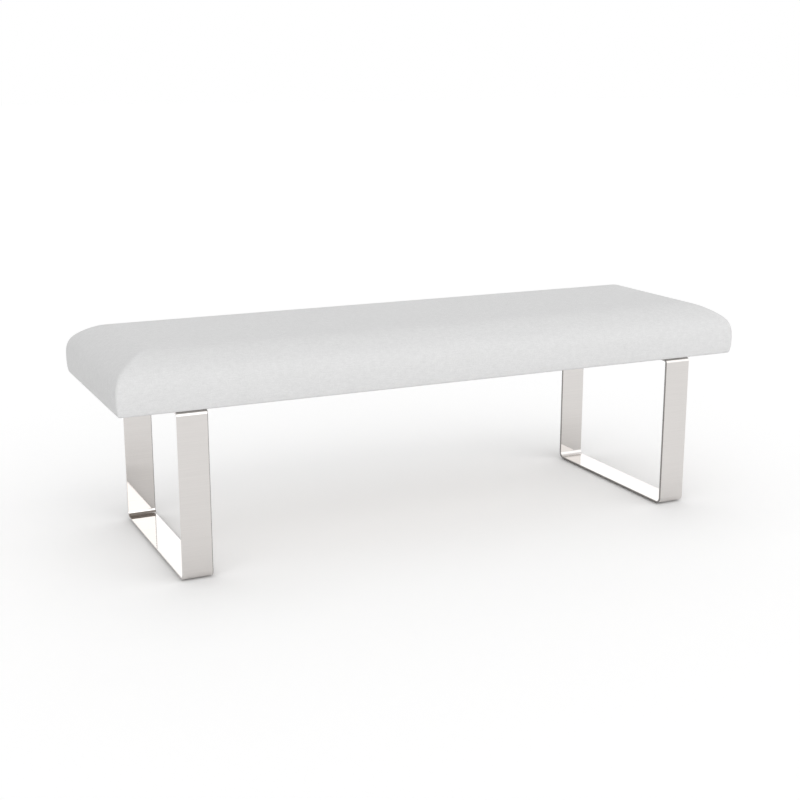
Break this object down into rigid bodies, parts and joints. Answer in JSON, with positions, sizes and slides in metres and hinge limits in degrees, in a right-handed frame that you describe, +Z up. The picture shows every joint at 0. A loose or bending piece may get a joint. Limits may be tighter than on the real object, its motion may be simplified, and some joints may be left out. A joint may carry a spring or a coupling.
{
  "type": "upholstered bench",
  "caption": "Long upholstered bench: a crowned fabric seat with mitred corners on closed loops of polished flat bar, for sitting.",
  "frame": {"origin": "on the floor, under the middle of the seat", "axes": "+X along the length to the right, +Y from front to back, +Z up"},
  "size_m": [1.454, 0.458, 0.469],
  "materials": {
    "seat_fabric": "fine plain weave, matt",
    "batting": "loose polyester batting",
    "foam": "open-cell foam",
    "dust_cloth": "non-woven cloth",
    "polished_steel": "polished",
    "zinc_steel": "zinc plated",
    "hardwood": "planed, unfinished",
    "plywood": "sanded, unfinished",
    "glide_nylon": "moulded"
  },
  "bodies": {
    "root": {"batting_wrap": "batting", "centre_cross_rail": "hardwood", "corner_blocks": "hardwood", "cover_staples": "zinc_steel", "deck_screws": "zinc_steel", "dust_cover": "dust_cloth", "dust_cover_staples": "zinc_steel", "floor_glides": "glide_nylon", "frame_screws": "zinc_steel", "front_edge_foam": "foam", "front_rail": "hardwood", "left_cross_rail": "hardwood", "left_edge_foam": "foam", "left_end_rail": "hardwood", "left_leg_cleat": "hardwood", "left_leg_loop": "polished_steel", "leg_bolts": "zinc_steel", "leg_nuts": "zinc_steel", "leg_washers": "zinc_steel", "rear_edge_foam": "foam", "rear_rail": "hardwood", "right_cross_rail": "hardwood", "right_edge_foam": "foam", "right_end_rail": "hardwood", "right_leg_cleat": "hardwood", "right_leg_loop": "polished_steel", "seat_cover": "seat_fabric", "seat_deck": "plywood", "seat_foam": "foam"}
  },
  "joints": []
}
